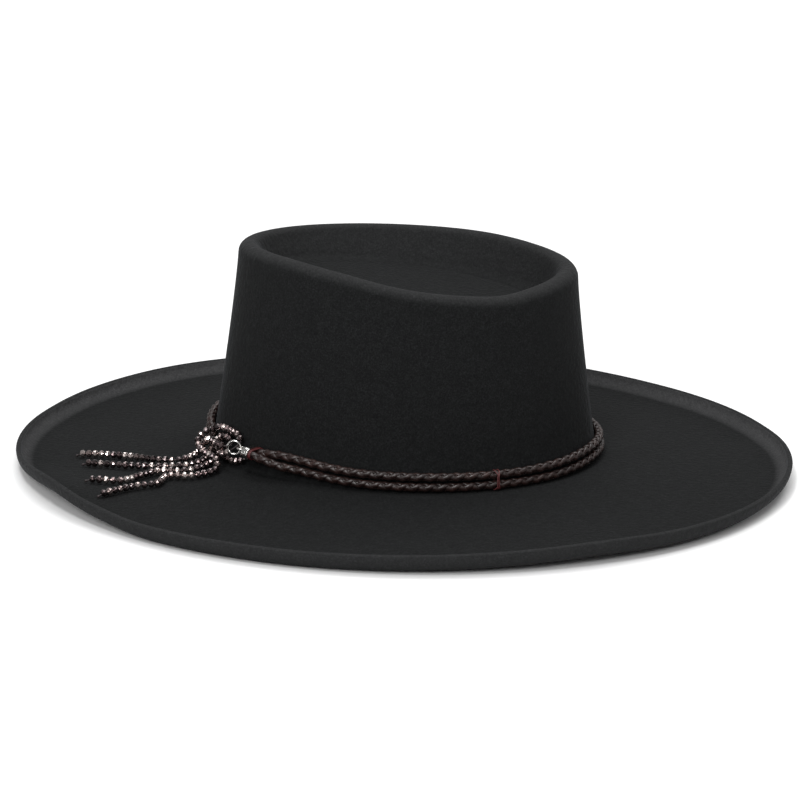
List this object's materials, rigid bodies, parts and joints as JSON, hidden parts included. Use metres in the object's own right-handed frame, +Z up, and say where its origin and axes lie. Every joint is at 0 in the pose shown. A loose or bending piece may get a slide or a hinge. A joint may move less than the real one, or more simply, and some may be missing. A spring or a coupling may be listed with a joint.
{
  "type": "gaucho hat",
  "caption": "Black felt gaucho hat with a flat oval crown, a wide flat curled-edge brim, braided leather cord band and beaded tassel strings at the front left.",
  "frame": {"origin": "centre of the bounding box, on the plane that the brim rests on", "axes": "+Z up, the front of the hat looks along -Y, the wearer's left side is +X"},
  "size_m": [0.3742, 0.4054, 0.1194],
  "materials": {
    "felt": "black wool felt with a short nap",
    "leather": "dark brown braided leather, satin",
    "silver": "polished silver plate",
    "beads": "faceted glass beads with a metallic copper brown coat"
  },
  "bodies": {
    "root": {"felt_body": "felt", "cord_lower": "leather", "cord_upper": "leather", "end_cap": "silver", "ring": "silver", "bead_string_upper": "beads", "bead_string_lower": "beads", "bead_string_tie": "beads"}
  },
  "joints": []
}
